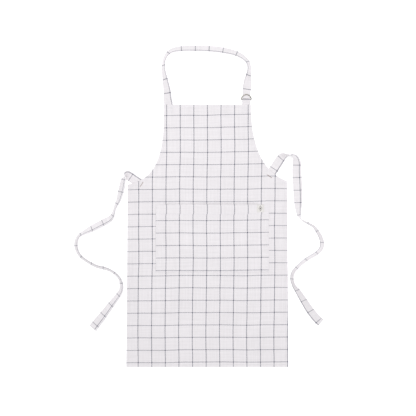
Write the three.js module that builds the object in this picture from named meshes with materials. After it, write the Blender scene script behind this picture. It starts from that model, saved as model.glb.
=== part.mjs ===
// A full-length bib apron in woven check cloth, laid on its back with its neck strap and ties spread.
// +X is to the right of someone looking at the front, +Y points to the neck, +Z points out of the front.
// The origin is on the back face of the main panel, on its centre line, halfway between top and bottom.
import * as THREE from 'three';

// ---- Clearance and cloth ----
const gap = 0.3; // between pieces that touch
const clothThickness = 0.8;
const hemThickness = 0.9; // the two layers turned under at an edge
const strapThickness = 1.6; // a strip folded into four layers
const threadWidth = 0.6;
const threadHeight = 0.3;

// ---- Main panel ----
const bodyLength = 900;
const bibHalfWidth = 149;
const cornerHalfWidth = 273; // at the side corners, under the arms
const skirtHalfWidth = 278; // at the bottom edge
const hemWidth = 10;
const seamInset = 8.5; // from an edge to its row of stitches

// ---- Armholes: each is one curve from the bib's top corner down to the side corner ----
// The curve leaves the side corner towards a point that is a share of the way in to the bib, and up.
const armholes = {
  left: { side: -1, drop: 274, topHandle: 120, cornerHandle: [0.99, 22] },
  right: { side: 1, drop: 262, topHandle: 80, cornerHandle: [0.895, 40] },
};
const armholeSteps = 24;

// ---- Patch pocket ----
const pocketWidth = 388;
const pocketHeight = 232;
const pocketShift = 17; // of its middle from the centre line
const pocketBelowBib = 342; // from the bib's top edge down to the mouth
const pocketRise = 6.5; // how far its middle stands off the panel
const pocketMargin = 6; // the flat border that is sewn down
const pocketSlope = 40; // from the flat border in to the full rise
const slopeSteps = 4; // straight stretches that make up the slope
const pocketHemDepth = 36;
const pocketHemSeam = 2; // from the hem's lower edge up to its stitches
const pocketSeamInset = 4;

// ---- Label ----
const labelWidth = 25;
const labelLength = 26;
const labelThickness = 0.5;
const labelInset = 16.5; // from the pocket's side
const labelBelowMouth = 1;
const labelSeamInset = 2;

// ---- Neck strap, its two D-rings and their tab ----
const strapWidth = 30;
const strapGather = 3; // how far each edge curls in where it runs through the rings
const strapReach = 195; // from the bib's top edge to the far side of the loop
const strapHemLength = 34; // sewn down behind the bib
const foldOut = 3; // from the bib's edge to the line that a strap folds on
const foldClear = 1.6; // half the bare length on that line
const wire = 2.6;
const ringSideClear = 0.7;
const ringCorner = 3;
const barOut = 17; // from the bib's top edge to the rings' bars
const tabThickness = 0.8;
const tabInset = 1; // from each side of the strap's width
const tailLength = 72;
const tailSettle = 24; // how far past the rings the tail takes to lie down
const tackSize = 18;

// ---- Waist ties ----
const tieWidth = 32;
const tieHemLength = 26; // sewn down behind the armhole edge
const tieRoots = {
  left: { share: 0.9, angle: 146, foldOut: 19.5, settle: 13.5 },
  right: { share: 0.82, angle: 57, foldOut: 14, settle: 27 },
};
const tieTackInset = 17; // from the armhole edge to the bar of stitches that holds a tie
const tieTackLength = 20;
const tieTackWidth = 1.6;

// The strap's route: how far across from its root to its rings, how far up to its full reach, and
// how many degrees its inner edge is lifted.
const strapRoute = [
  [-0.01, 0.11, 18], [-0.015, 0.22, 30], [-0.042, 0.44, 51], [-0.062, 0.615, 66], [-0.054, 0.775, 68],
  [0.002, 0.908, 58], [0.077, 0.96, 52], [0.167, 0.98, 47], [0.346, 0.985, 44], [0.523, 0.98, 42],
  [0.7, 0.952, 43], [0.87, 0.895, 48], [0.95, 0.836, 52], [1.01, 0.76, 58], [1.037, 0.66, 63],
  [1.037, 0.58, 59], [1.028, 0.51, 50], [1.015, 0.39, 32], [1.005, 0.27, 10], [1, 0.2, 0],
];

// Each tie's route past its root: how far outside the apron's side edge, how far above the side
// corner, and how many degrees it has rolled over from lying front face up.
const tieRoutes = {
  left: [
    [7, 29, -84], [14, 18, -121], [17, 3, -130], [23.5, -26.5, -132], [30.5, -53, -124],
    [38.5, -70.5, -115], [44, -86, -111], [49, -103, -117], [60, -118, -131], [83, -130.5, -136],
    [123, -151.5, -132], [149, -165, -116], [164, -175, -113], [172.5, -190.5, -116],
    [174.5, -208.5, -118], [168.5, -230, -116], [156, -247.5, -113], [122.5, -270.5, -113],
    [101.5, -280.5, -113], [79.5, -285.5, -113], [59, -292.5, -111], [41.5, -303.5, -111],
    [25.5, -320, -113], [18.5, -339.5, -117], [19, -360.5, -118], [30.5, -381, -124], [55, -413, -135],
    [80, -446.5, -146], [106, -479.5, -156], [115.5, -492.5, -160],
  ],
  right: [
    [-3.5, 86, 68], [13.5, 88.5, 102], [29, 79, 134], [34, 62, 156], [34, 29, 171],
    [37, -31, 168], [37.5, -75.5, 152], [38, -100, 132], [40, -119, 114], [50.5, -134, 88],
    [72.5, -146, 81], [91.5, -158, 79], [101.5, -172.5, 75], [111.5, -190.5, 73], [117.5, -211.5, 72],
    [113.5, -231.5, 73], [98.5, -247, 74], [63, -268.5, 76], [30.5, -296.5, 77], [16.5, -315.5, 76],
    [13.5, -334.5, 75], [19.5, -357, 71], [31.5, -374.5, 59], [52.5, -408, 45], [76, -445, 35],
    [104.5, -479, 27], [112, -484.5, 25],
  ],
};
const stepsPerSpan = 3;

// ---- Heights and places that follow from the sizes above ----
const bibTop = bodyLength / 2;
const bottomEdge = -bodyLength / 2;
const hemTop = -gap;
const hemBase = hemTop - hemThickness;
const strapTop = hemBase - gap;
const floor = strapTop - strapThickness;
const frontFace = clothThickness + gap;
const pocketFace = frontFace + clothThickness + gap;
const foldHeight = floor + strapThickness / 2;
const ringSpan = (strapWidth + wire) / 2 + ringSideClear; // the middle of the wire, out from the centre
const gatheredWidth = strapWidth - 2 * strapGather;
const rootX = bibHalfWidth - strapWidth / 2 - 0.5;
const tabWidth = strapWidth - 2 * tabInset;
const pocketTop = bibTop - pocketBelowBib;
const backBarHeight = floor + strapThickness + gap + wire / 2;
const frontBarHeight = backBarHeight + wire + gap;
const tailHeight = backBarHeight + wire / 2 + gap + strapThickness / 2;
const turnRadius = (tailHeight - foldHeight) / 2;
// The strap turns back just short of the tab, so it fills the rings.
const turnOut = barOut + wire / 2 + gap + tabThickness + gap + strapThickness / 2 + turnRadius;
// How far past the bars the wire, slanting over the strap's edges, first meets them.
const wireOut = Math.sqrt(ringSpan ** 2 - (gatheredWidth / 2) ** 2);
const wireMeets = wireOut - (wire / 2) * (ringSpan / wireOut - 1);

// ---- Finishes ----
function finish(colour, roughness, metalness) {
  return new THREE.MeshStandardMaterial({ color: colour, roughness, metalness });
}
const checkCloth = finish(0xececef, 0.92, 0);
const turnedCloth = finish(0xe2e2e8, 0.92, 0);
const stripCloth = finish(0xe8e8ee, 0.9, 0);
const thread = finish(0xdfdfe2, 0.8, 0);
const tackThread = finish(0x8d6f5c, 0.8, 0);
const labelCloth = finish(0xd9cdb6, 0.85, 0);
const antiqueBrass = finish(0x8f8a72, 0.38, 1);

const apron = new THREE.Group();

function addPiece(name, geometry, material, x = 0, y = 0, z = 0) {
  const mesh = new THREE.Mesh(geometry, material);
  mesh.name = name;
  mesh.position.set(x, y, z);
  apron.add(mesh);
  return mesh;
}

// A flat piece of the given outline, standing on z = 0.
function plate(shape, thickness) {
  return new THREE.ExtrudeGeometry(shape, { depth: thickness, bevelEnabled: false, curveSegments: armholeSteps });
}

// Moves every corner of a geometry to the place that a function gives for it.
function reshape(geometry, place) {
  const corners = geometry.attributes.position;
  const corner = new THREE.Vector3();
  for (let i = 0; i < corners.count; i += 1) {
    corner.fromBufferAttribute(corners, i);
    place(corner);
    corners.setXYZ(i, corner.x, corner.y, corner.z);
  }
  geometry.computeVertexNormals();
  return geometry;
}

// ---- Main panel ----
// How far the side edge is from the centre line at a height, straight from corner to bottom.
function sideAt(y, cornerY) {
  const down = Math.max(0, (cornerY - y) / (cornerY - bottomEdge));
  return cornerHalfWidth + (skirtHalfWidth - cornerHalfWidth) * down;
}

function armholeCurve({ side, drop, topHandle, cornerHandle }) {
  const cornerY = bibTop - drop;
  const [share, upward] = cornerHandle;
  const handleX = THREE.MathUtils.lerp(cornerHalfWidth, bibHalfWidth, share);
  return new THREE.CubicBezierCurve(
    new THREE.Vector2(side * bibHalfWidth, bibTop),
    new THREE.Vector2(side * bibHalfWidth, bibTop - topHandle),
    new THREE.Vector2(side * handleX, cornerY + upward),
    new THREE.Vector2(side * cornerHalfWidth, cornerY),
  );
}

// The edges as lines of points, walked so that the cloth is always on the left.
function edgeLines() {
  const leftHole = armholeCurve(armholes.left).getPoints(armholeSteps);
  const rightHole = armholeCurve(armholes.right).getPoints(armholeSteps).reverse();
  const bottomLeft = new THREE.Vector2(-skirtHalfWidth, bottomEdge);
  const bottomRight = new THREE.Vector2(skirtHalfWidth, bottomEdge);
  return {
    bottom: [bottomLeft, bottomRight],
    right_side: [bottomRight, rightHole[0]],
    right_armhole: rightHole,
    bib_top: [rightHole[armholeSteps], leftHole[0]],
    left_armhole: leftHole,
    left_side: [leftHole[armholeSteps], bottomLeft],
  };
}

// Shortens a line of points by a length at its start and another at its end.
function trimmed(points, atStart, atEnd) {
  const path = new THREE.CurvePath();
  for (let i = 1; i < points.length; i += 1) {
    path.add(new THREE.LineCurve(points[i - 1], points[i]));
  }
  const total = path.getLength();
  const inside = points.filter((_, i) => {
    const reached = i === 0 ? 0 : path.getCurveLengths()[i - 1];
    return reached > atStart + 1 && reached < total - atEnd - 1;
  });
  return [path.getPointAt(atStart / total), ...inside, path.getPointAt(1 - atEnd / total)];
}

// The same line moved to its left by a distance.
function movedIn(points, distance) {
  return points.map((point, i) => {
    const before = points[Math.max(i - 1, 0)];
    const after = points[Math.min(i + 1, points.length - 1)];
    const along = after.clone().sub(before).normalize();
    return new THREE.Vector2(point.x - along.y * distance, point.y + along.x * distance);
  });
}

// A band that runs beside a line, from one distance in to another.
function band(points, from, to) {
  return new THREE.Shape([...movedIn(points, from), ...movedIn(points, to).reverse()]);
}

const edges = edgeLines();
const outline = Object.values(edges).flatMap((points) => points.slice(1));
addPiece('main_panel', plate(new THREE.Shape(outline), clothThickness), checkCloth);

// The bottom and top hems run right across, and the others stop clear of them and of each other.
const hemStop = hemWidth + gap;
// A side edge may slant, so its hem stops higher by what its square-cut end would dip.
function sideHemStop({ drop }) {
  const slope = Math.abs(skirtHalfWidth - cornerHalfWidth) / (bodyLength - drop);
  return hemStop * Math.hypot(1, slope) + hemWidth * slope;
}
const hemTrims = {
  bottom: [0, 0],
  right_side: [sideHemStop(armholes.right), 0],
  right_armhole: [hemStop, hemStop],
  bib_top: [0, 0],
  left_armhole: [hemStop, hemStop],
  left_side: [0, sideHemStop(armholes.left)],
};
for (const [edgeName, points] of Object.entries(edges)) {
  const line = trimmed(points, ...hemTrims[edgeName]);
  const hem = plate(band(line, 0, hemWidth), hemThickness);
  const stitches = plate(band(line, seamInset - threadWidth, seamInset), threadHeight);
  addPiece(`${edgeName}_hem`, hem, turnedCloth, 0, 0, hemBase);
  addPiece(`${edgeName}_thread`, stitches, thread, 0, 0, frontFace);
}

// ---- Patch pocket ----
// A smooth step from 0 to 1.
function ease(share) {
  const t = Math.min(Math.max(share, 0), 1);
  return t * t * (3 - 2 * t);
}

// The same step in straight stretches, so that pieces laid on each other bend on the same lines.
function stretchedEase(share) {
  const reached = Math.min(Math.max(share, 0), 1) * slopeSteps;
  const stretch = Math.min(Math.floor(reached), slopeSteps - 1);
  const low = ease(stretch / slopeSteps);
  const high = ease((stretch + 1) / slopeSteps);
  return THREE.MathUtils.lerp(low, high, reached - stretch);
}

// How far the pocket stands off the panel at a place measured from its own centre.
function pocketLift(x, y) {
  const fromSide = pocketWidth / 2 - Math.abs(x) - pocketMargin;
  const fromBottom = y + pocketHeight / 2 - pocketMargin;
  return pocketRise * stretchedEase(fromSide / pocketSlope) * stretchedEase(fromBottom / pocketSlope);
}

// The lines that the slope bends on, inwards from an edge at a negative distance.
function bendLines(edge) {
  return Array.from({ length: slopeSteps + 1 }, (_, k) => edge + pocketMargin + (pocketSlope * k) / slopeSteps);
}
const fromLeft = bendLines(-pocketWidth / 2);
const acrossBends = [...fromLeft, ...fromLeft.map((x) => -x).reverse()];
const upBends = bendLines(-pocketHeight / 2);

// A flat piece between two corners, raised with the pocket and bending on the pocket's own lines.
function onPocket([lowX, lowY], [highX, highY], thickness) {
  const between = (bends, low, high) => [low, ...bends.filter((at) => at > low + 1 && at < high - 1), high];
  const xs = between(acrossBends, lowX, highX);
  const ys = between(upBends, lowY, highY);
  const sheet = new THREE.BoxGeometry(1, 1, thickness, xs.length - 1, ys.length - 1, 1);
  return reshape(sheet, (corner) => {
    corner.x = xs[Math.round((corner.x + 0.5) * (xs.length - 1))];
    corner.y = ys[Math.round((corner.y + 0.5) * (ys.length - 1))];
    corner.z += pocketLift(corner.x, corner.y);
  });
}

// A closed ring of thread along a rectangle, with corners every few millimetres to follow a curve.
function threadRing(width, length, perSide) {
  const at = (inset) => {
    const w = width / 2 - inset;
    const l = length / 2 - inset;
    const corners = [[-w, -l], [w, -l], [w, l], [-w, l]];
    return corners.flatMap(([x, y], i) => {
      const [nextX, nextY] = corners[(i + 1) % corners.length];
      return Array.from({ length: perSide }, (_, k) => new THREE.Vector2(
        x + ((nextX - x) * k) / perSide,
        y + ((nextY - y) * k) / perSide,
      ));
    });
  };
  const shape = new THREE.Shape(at(0));
  shape.holes.push(new THREE.Path(at(threadWidth)));
  return plate(shape, threadHeight);
}

function addPocket() {
  const middleY = pocketTop - pocketHeight / 2;
  const put = (name, geometry, material, z) => addPiece(name, geometry, material, pocketShift, middleY, z);
  const w = pocketWidth / 2;
  const h = pocketHeight / 2;
  const panel = onPocket([-w, -h], [w, h], clothThickness);
  put('pocket_panel', panel, checkCloth, frontFace + clothThickness / 2);

  const hemEnd = w - pocketMargin - pocketSlope / 2;
  const hem = onPocket([-hemEnd, h - pocketHemDepth], [hemEnd, h], clothThickness);
  put('pocket_hem', hem, turnedCloth, frontFace - gap - clothThickness / 2);

  const rowEnd = w - pocketMargin;
  const rowY = h - pocketHemDepth + pocketHemSeam;
  const hemRow = onPocket([-rowEnd, rowY], [rowEnd, rowY + threadWidth], threadHeight);
  put('pocket_hem_thread', hemRow, thread, pocketFace + threadHeight / 2);

  const line = (inset) => {
    const x = w - inset;
    return [[-x, h], [-x, inset - h], [x, inset - h], [x, h]].map(([px, py]) => new THREE.Vector2(px, py));
  };
  const outer = line(pocketSeamInset - threadWidth);
  const inner = line(pocketSeamInset).reverse();
  put('pocket_seam_thread', plate(new THREE.Shape([...outer, ...inner]), threadHeight), thread, pocketFace);
}
addPocket();

function addLabel() {
  const middleY = pocketTop - pocketHeight / 2;
  const high = [pocketWidth / 2 - labelInset, pocketHeight / 2 - labelBelowMouth];
  const low = [high[0] - labelWidth, high[1] - labelLength];
  const patchZ = pocketFace + labelThickness / 2;
  addPiece('label', onPocket(low, high, labelThickness), labelCloth, pocketShift, middleY, patchZ);
  const ring = threadRing(labelWidth - 2 * labelSeamInset, labelLength - 2 * labelSeamInset, 8);
  const raised = reshape(ring, (corner) => {
    corner.x += (low[0] + high[0]) / 2;
    corner.y += (low[1] + high[1]) / 2;
    corner.z += pocketLift(corner.x, corner.y);
  });
  const ringZ = pocketFace + labelThickness + gap;
  addPiece('label_thread', raised, thread, pocketShift, middleY, ringZ);
}
addLabel();

// ---- Strips: a flat strip carried along a route, rolled over by an angle as it goes ----
// Each station holds the strip's middle and two half vectors, one across it and one through it.
function station(x, y, along, roll, width, across = null) {
  const lift = (Math.abs(Math.sin(roll)) * width + Math.abs(Math.cos(roll)) * strapThickness) / 2;
  const level = new THREE.Vector3(-along.y, along.x, 0);
  const up = new THREE.Vector3(0, 0, 1);
  const half = level.clone().multiplyScalar(Math.cos(roll)).addScaledVector(up, Math.sin(roll));
  const face = up.clone().multiplyScalar(Math.cos(roll)).addScaledVector(level, -Math.sin(roll));
  return {
    middle: new THREE.Vector3(x, y, floor + lift),
    across: across ?? half.multiplyScalar(width / 2),
    through: face.multiplyScalar(strapThickness / 2),
  };
}

// Stations along a smooth line through points of x, y and roll in degrees.
function routeStations(points, widthAt) {
  const line = new THREE.CatmullRomCurve3(points.map((point) => new THREE.Vector3(...point)));
  const steps = (points.length - 1) * stepsPerSpan;
  return Array.from({ length: steps + 1 }, (_, i) => {
    const here = line.getPoint(i / steps);
    const ahead = line.getTangent(i / steps);
    const along = new THREE.Vector2(ahead.x, ahead.y).normalize();
    return station(here.x, here.y, along, THREE.MathUtils.degToRad(here.z), widthAt(here.x, here.y));
  });
}

function stripSolid(stations) {
  const steps = stations.length - 1;
  return reshape(new THREE.BoxGeometry(2, 2, 1, 1, 1, steps), (corner) => {
    const { middle, across, through } = stations[Math.round((corner.z + 0.5) * steps)];
    const { x, y } = corner;
    corner.copy(middle).addScaledVector(across, x).addScaledVector(through, y);
  });
}

// ---- Neck strap ----
function addNeckStrap() {
  const routePoint = ([across, up, roll]) => [
    THREE.MathUtils.lerp(-rootX, rootX, across),
    bibTop + up * strapReach,
    -roll,
  ];
  const start = [-rootX, bibTop + foldOut + foldClear, 0];
  const end = [rootX, bibTop + turnOut, 0];
  const narrowFrom = bibTop + strapReach / 3;
  const narrowTo = bibTop + turnOut + wire;
  const widthAt = (x, y) => {
    const narrowing = x > 0 ? ease((narrowFrom - y) / (narrowFrom - narrowTo)) : 0;
    return THREE.MathUtils.lerp(strapWidth, gatheredWidth, narrowing);
  };
  const run = routeStations([start, ...strapRoute.map(routePoint), end], widthAt);

  const across = new THREE.Vector3(gatheredWidth / 2, 0, 0);
  const turnSteps = 8;
  const turn = Array.from({ length: turnSteps - 1 }, (_, i) => {
    const angle = (Math.PI * (i + 1)) / turnSteps;
    const inward = new THREE.Vector3(0, Math.sin(angle), Math.cos(angle));
    const middle = new THREE.Vector3(rootX, bibTop + turnOut, foldHeight + turnRadius);
    return {
      middle: middle.addScaledVector(inward, -turnRadius),
      across,
      through: inward.multiplyScalar(strapThickness / 2),
    };
  });

  // The tail comes back over the strap, high where it crosses the back ring, then lying on it.
  const high = tailHeight - foldHeight;
  const low = strapThickness + gap;
  const pastRing = barOut + ringSpan + wire / 2 + gap;
  let travelled = 0;
  const tail = [];
  for (let i = run.length - 1; i >= 0 && travelled < tailLength; i -= 1) {
    const { middle, across: width, through } = run[i];
    if (i < run.length - 1) {
      travelled += middle.distanceTo(run[i + 1].middle);
    }
    const settled = ease((middle.y - bibTop - pastRing) / tailSettle);
    const face = through.clone().normalize();
    tail.push({
      middle: middle.clone().addScaledVector(face, THREE.MathUtils.lerp(high, low, settled)),
      across: width,
      through: through.clone().negate(),
    });
  }
  addPiece('neck_strap', stripSolid([...run, ...turn, ...tail]), stripCloth);
}
addNeckStrap();

// What is sewn down behind the bib, up to the line that the strap and the tab fold on.
function addSewnEnd(name, x, width) {
  const length = strapHemLength + foldOut - foldClear;
  const end = new THREE.BoxGeometry(width, length, strapThickness);
  addPiece(name, end, stripCloth, x, bibTop + foldOut - foldClear - length / 2, foldHeight);
}
addSewnEnd('neck_strap_end', -rootX, strapWidth);
addSewnEnd('ring_tab_end', rootX, tabWidth);

// ---- Ring tab: a short strip folded round the bars of both rings ----
function addRingTab() {
  const eye = wire / 2 + gap;
  const wall = eye + tabThickness;
  const startY = foldOut + foldClear;
  const low = backBarHeight - floor;
  const top = frontBarHeight - floor;
  const side = new THREE.Shape();
  side.moveTo(startY, 0);
  side.lineTo(barOut, low - wall);
  side.absarc(barOut, low, wall, -Math.PI / 2, 0, false);
  side.absarc(barOut, top, wall, 0, Math.PI / 2, false);
  side.lineTo(startY, strapThickness);
  const slot = new THREE.Path();
  slot.absarc(barOut, top, eye, 0, Math.PI, false);
  slot.absarc(barOut, low, eye, Math.PI, 2 * Math.PI, false);
  side.holes.push(slot);
  const tab = new THREE.ExtrudeGeometry(side, { depth: tabWidth, bevelEnabled: false, curveSegments: 6 });
  const toSide = new THREE.Matrix4().makeBasis(
    new THREE.Vector3(0, 1, 0),
    new THREE.Vector3(0, 0, 1),
    new THREE.Vector3(1, 0, 0),
  );
  tab.applyMatrix4(toSide);
  addPiece('ring_tab', tab, stripCloth, rootX - tabWidth / 2, bibTop, floor);
}
addRingTab();

// ---- D-rings: a straight bar on y = 0 closed by a half circle ----
function ringGeometry() {
  const meet = Math.asin(ringCorner / ringSpan);
  const path = new THREE.Path();
  path.moveTo(ringCorner - ringSpan, 0);
  path.lineTo(ringSpan - ringCorner, 0);
  path.quadraticCurveTo(ringSpan, 0, ringSpan * Math.cos(meet), ringSpan * Math.sin(meet));
  path.absarc(0, 0, ringSpan, meet, Math.PI - meet, false);
  path.quadraticCurveTo(-ringSpan, 0, ringCorner - ringSpan, 0);
  const points = path.getSpacedPoints(48).slice(0, -1);
  const line = new THREE.CatmullRomCurve3(points.map(({ x, y }) => new THREE.Vector3(x, y, 0)), true);
  return new THREE.TubeGeometry(line, 40, wire / 2, 8, true);
}
addPiece('back_ring', ringGeometry(), antiqueBrass, rootX, bibTop + barOut, backBarHeight);

// The front ring rests on the tail, so it leans up from its bar to clear the tail's edges.
const overTail = tailHeight + strapThickness / 2 + gap + wire / 2 - frontBarHeight;
const frontRing = addPiece('front_ring', ringGeometry(), antiqueBrass, rootX, bibTop + barOut, frontBarHeight);
frontRing.rotation.x = Math.asin(overTail / wireMeets);

// ---- Waist ties ----
function addTie(sideName) {
  const { side, drop } = armholes[sideName];
  const { share, angle, foldOut: out, settle } = tieRoots[sideName];
  const cornerY = bibTop - drop;
  const root = armholeCurve(armholes[sideName]).getPoint(share);
  const turn = THREE.MathUtils.degToRad(angle);
  const along = new THREE.Vector2(Math.cos(turn), Math.sin(turn));
  const beside = new THREE.Vector2(-along.y, along.x);
  const foldX = root.x + side * out;
  const onFold = (x) => root.clone().addScaledVector(along, (x - root.x) / along.x);

  // The strip is cut square behind the panel, and the fold line crosses it at a slant.
  const inner = root.clone().addScaledVector(along, -tieHemLength);
  const corner = (amount) => inner.clone().addScaledVector(beside, (amount * tieWidth) / 2);
  const slant = tieWidth / 2 / along.x;
  const endX = foldX - side * foldClear;
  const cut = (amount) => onFold(endX).add(new THREE.Vector2(0, amount * slant));
  const end = new THREE.Shape([corner(1), corner(-1), cut(-1), cut(1)]);
  addPiece(`${sideName}_tie_end`, plate(end, strapThickness), stripCloth, 0, 0, floor);

  const startX = foldX + side * foldClear;
  const start = onFold(startX);
  const settled = start.clone().addScaledVector(along, settle);
  const places = tieRoutes[sideName].map(([outside, above, roll]) => {
    const y = cornerY + above;
    return [side * (sideAt(y, cornerY) + outside), y, roll];
  });
  const first = station(start.x, start.y, along, 0, tieWidth, new THREE.Vector3(0, slant, 0));
  const rest = routeStations([[settled.x, settled.y, side * 12], ...places], () => tieWidth);
  addPiece(`${sideName}_tie`, stripSolid([first, ...rest]), stripCloth);

  const tack = new THREE.BoxGeometry(tieTackWidth, tieTackLength, threadHeight);
  const held = root.clone().addScaledVector(along, -tieTackInset);
  const bar = addPiece(`${sideName}_tie_tack`, tack, tackThread, held.x, held.y, frontFace + threadHeight / 2);
  bar.rotation.z = turn;
}
addTie('left');
addTie('right');

// ---- Squares of stitches through the bib that hold the strap's end and the tab's end ----
const tackX = bibHalfWidth - hemWidth - 1 - tackSize / 2;
const tackY = bibTop - hemWidth - 1 - tackSize / 2;
addPiece('neck_strap_tack', threadRing(tackSize, tackSize, 1), thread, -tackX, tackY, frontFace);
addPiece('ring_tab_tack', threadRing(tackSize, tackSize, 1), thread, tackX, tackY, frontFace);

export default apron;
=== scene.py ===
# %% [markdown]
# # A bib apron in check cloth, laid flat
# The real object is cut from one light cotton cloth with thin dark lines woven both ways. A bib and a
# skirt are one piece, a wide pocket is sewn on, and folded strips make the neck strap and two ties.
# Everything soft is a surface worked out with numpy from a few lengths in millimetres. The imported CAD
# model is loaded first, because the pieces take their places from its parts, and most of them ride on
# an empty named for one of its bodies.

# %% Load the frame
import bpy
import numpy as np
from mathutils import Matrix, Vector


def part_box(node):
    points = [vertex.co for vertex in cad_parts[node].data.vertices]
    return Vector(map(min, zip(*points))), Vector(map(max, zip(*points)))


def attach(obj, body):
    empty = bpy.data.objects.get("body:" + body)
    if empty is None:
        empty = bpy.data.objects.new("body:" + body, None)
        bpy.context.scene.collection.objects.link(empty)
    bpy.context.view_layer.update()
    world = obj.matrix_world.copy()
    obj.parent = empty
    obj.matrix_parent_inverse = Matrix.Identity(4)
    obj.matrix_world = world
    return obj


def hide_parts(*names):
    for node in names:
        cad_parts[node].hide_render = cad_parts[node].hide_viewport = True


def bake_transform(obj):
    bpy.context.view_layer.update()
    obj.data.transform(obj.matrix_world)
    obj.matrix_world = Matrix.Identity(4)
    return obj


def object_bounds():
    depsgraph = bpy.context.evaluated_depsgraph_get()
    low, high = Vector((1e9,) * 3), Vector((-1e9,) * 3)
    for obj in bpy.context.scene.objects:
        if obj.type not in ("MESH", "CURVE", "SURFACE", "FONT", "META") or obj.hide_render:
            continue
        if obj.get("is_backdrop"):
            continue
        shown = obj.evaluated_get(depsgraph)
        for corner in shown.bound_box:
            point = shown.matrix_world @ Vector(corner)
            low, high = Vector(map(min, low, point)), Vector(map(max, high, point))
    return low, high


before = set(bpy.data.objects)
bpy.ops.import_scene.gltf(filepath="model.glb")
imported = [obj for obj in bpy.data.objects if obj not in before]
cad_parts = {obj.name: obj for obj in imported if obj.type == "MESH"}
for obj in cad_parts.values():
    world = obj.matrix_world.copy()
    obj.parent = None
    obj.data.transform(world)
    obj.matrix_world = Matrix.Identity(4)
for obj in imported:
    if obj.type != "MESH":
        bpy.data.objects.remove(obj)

MM = 0.001
cad_low, cad_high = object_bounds()
print("CAD box in mm:", [round(v / MM, 1) for v in (*cad_low, *cad_high)])

# %% [markdown]
# ## Camera, floor and light
# A laid-out garment is taken from straight above, so the camera looks down with a long lens. The floor
# is white and gives off a little light of its own, which leaves only a breath of shadow round the edges.

# %% Camera
camera_data = bpy.data.cameras.new("overhead")
camera_data.lens, camera_data.sensor_width = 85.0, 36.0
FIELD = 1.427  # metres across what the camera sees
overhead = bpy.data.objects.new("overhead", camera_data)
overhead.location = (0.0021, 0.0954, FIELD * camera_data.lens / camera_data.sensor_width)
bpy.context.scene.collection.objects.link(overhead)
bpy.context.scene.camera = overhead
bpy.context.scene.view_settings.view_transform = "Standard"
print("camera", round(overhead.location.z, 3), "m up")

# %% Light
world = bpy.data.worlds.new("studio")
bpy.context.scene.world = world
world.use_nodes = True
sky = world.node_tree.nodes["Background"]
sky.inputs["Color"].default_value = (0.985, 0.99, 1.0, 1)
sky.inputs["Strength"].default_value = 0.80


def soft_box(name, place, size, power):
    """A square lamp of the given size in metres at a place, turned to face the apron's middle."""
    data = bpy.data.lights.new(name, "AREA")
    data.size, data.energy = size, power
    lamp = bpy.data.objects.new(name, data)
    lamp.location = place
    lamp.rotation_mode = "QUATERNION"
    lamp.rotation_quaternion = lamp.location.to_track_quat("Z", "Y")
    bpy.context.scene.collection.objects.link(lamp)
    return lamp


soft_box("key_lamp", (-0.3, 0.85, 1.9), 0.9, 12)
soft_box("fill_lamp", (1.6, -0.6, 2.2), 1.6, 9)
print("two soft boxes and an even sky")

# %% [markdown]
# ## Shader maths
# A node's output is wrapped in a small class, so that a line of Python such as 1 - mask adds the Math
# node that works it out. One method makes every other node.

# %% Sockets that can be added and multiplied


def adds(operation, swapped=False):
    """A method that adds the Math node for an operation, with its two values swapped if asked."""
    def method(self, *others):
        return self.maths(operation, *((*others, self) if swapped else (self, *others)))
    return method


class Socket:
    """One output of a node. Adding, multiplying and so on makes the Math node that does it."""

    def __init__(self, finish, socket):
        self.finish, self.socket = finish, socket

    def maths(self, operation, *values):
        return self.finish.node("ShaderNodeMath", {"operation": operation}, values)

    __add__, __radd__ = adds("ADD"), adds("ADD", swapped=True)
    __sub__, __rsub__ = adds("SUBTRACT"), adds("SUBTRACT", swapped=True)
    __mul__, __rmul__ = adds("MULTIPLY"), adds("MULTIPLY", swapped=True)
    __truediv__, __lt__, __abs__ = adds("DIVIDE"), adds("LESS_THAN"), adds("ABSOLUTE")
    floor, fract, sin = adds("FLOOR"), adds("FRACT"), adds("SINE")


class Finish:
    """A material and the nodes that make it."""

    def __init__(self, name, **uniform):
        self.material = bpy.data.materials.new(name)
        self.material.use_nodes = True
        self.tree = self.material.node_tree
        self.surface = self.tree.nodes["Principled BSDF"]
        for key, value in uniform.items():
            self.surface.inputs[key.replace("_", " ")].default_value = value

    def node(self, kind, settings, values, output=0):
        """A node of a kind: its settings first, a ramp's stops among them, then its sockets."""
        made = self.tree.nodes.new(kind)
        for key, value in settings.items():
            if key == "stops":
                marks = made.color_ramp.elements
                while len(marks) < len(value):
                    marks.new(1.0)
                for mark, (at, colour) in zip(marks, value):
                    mark.position, mark.color = at, (*colour, 1)
            else:
                setattr(made, key, value)
        pairs = values.items() if isinstance(values, dict) else enumerate(values)
        for key, value in pairs:
            self.put(made.inputs[key], value)
        return Socket(self, made.outputs[output])

    def put(self, socket, value):
        if isinstance(value, Socket):
            self.tree.links.new(value.socket, socket)
        else:
            socket.default_value = value

    def set(self, **varying):
        """Puts what changes over the surface on the shader's own sockets."""
        for key, value in varying.items():
            self.put(self.surface.inputs[key.replace("_", " ")], value)

    def mix(self, factor, a, b, blend="MIX"):
        """Colour a where the factor is 0 and b where it is 1."""
        colours = [(*c, 1) if isinstance(c, tuple) else c for c in (a, b)]
        settings = {"data_type": "RGBA", "blend_type": blend}
        return self.node("ShaderNodeMix", settings, {0: factor, 6: colours[0], 7: colours[1]}, 2)

    def vector(self, operation, *values):
        return self.node("ShaderNodeVectorMath", {"operation": operation}, values)

    def axes(self, vector):
        """The first two parts of a vector."""
        return [self.node("ShaderNodeSeparateXYZ", {}, (vector,), axis) for axis in "XY"]

    def noise(self, at, scale, detail=2.0, rough=0.5):
        """Cloudy values about 0.5, with scale spots to the metre."""
        sockets = {"Vector": at, "Scale": scale, "Detail": detail, "Roughness": rough}
        return self.node("ShaderNodeTexNoise", {}, sockets)

    def bump(self, height, distance, under=None):
        sockets = {"Strength": 1.0, "Distance": distance, "Height": height}
        if under is not None:
            sockets["Normal"] = under
        return self.node("ShaderNodeBump", {}, sockets)


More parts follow.
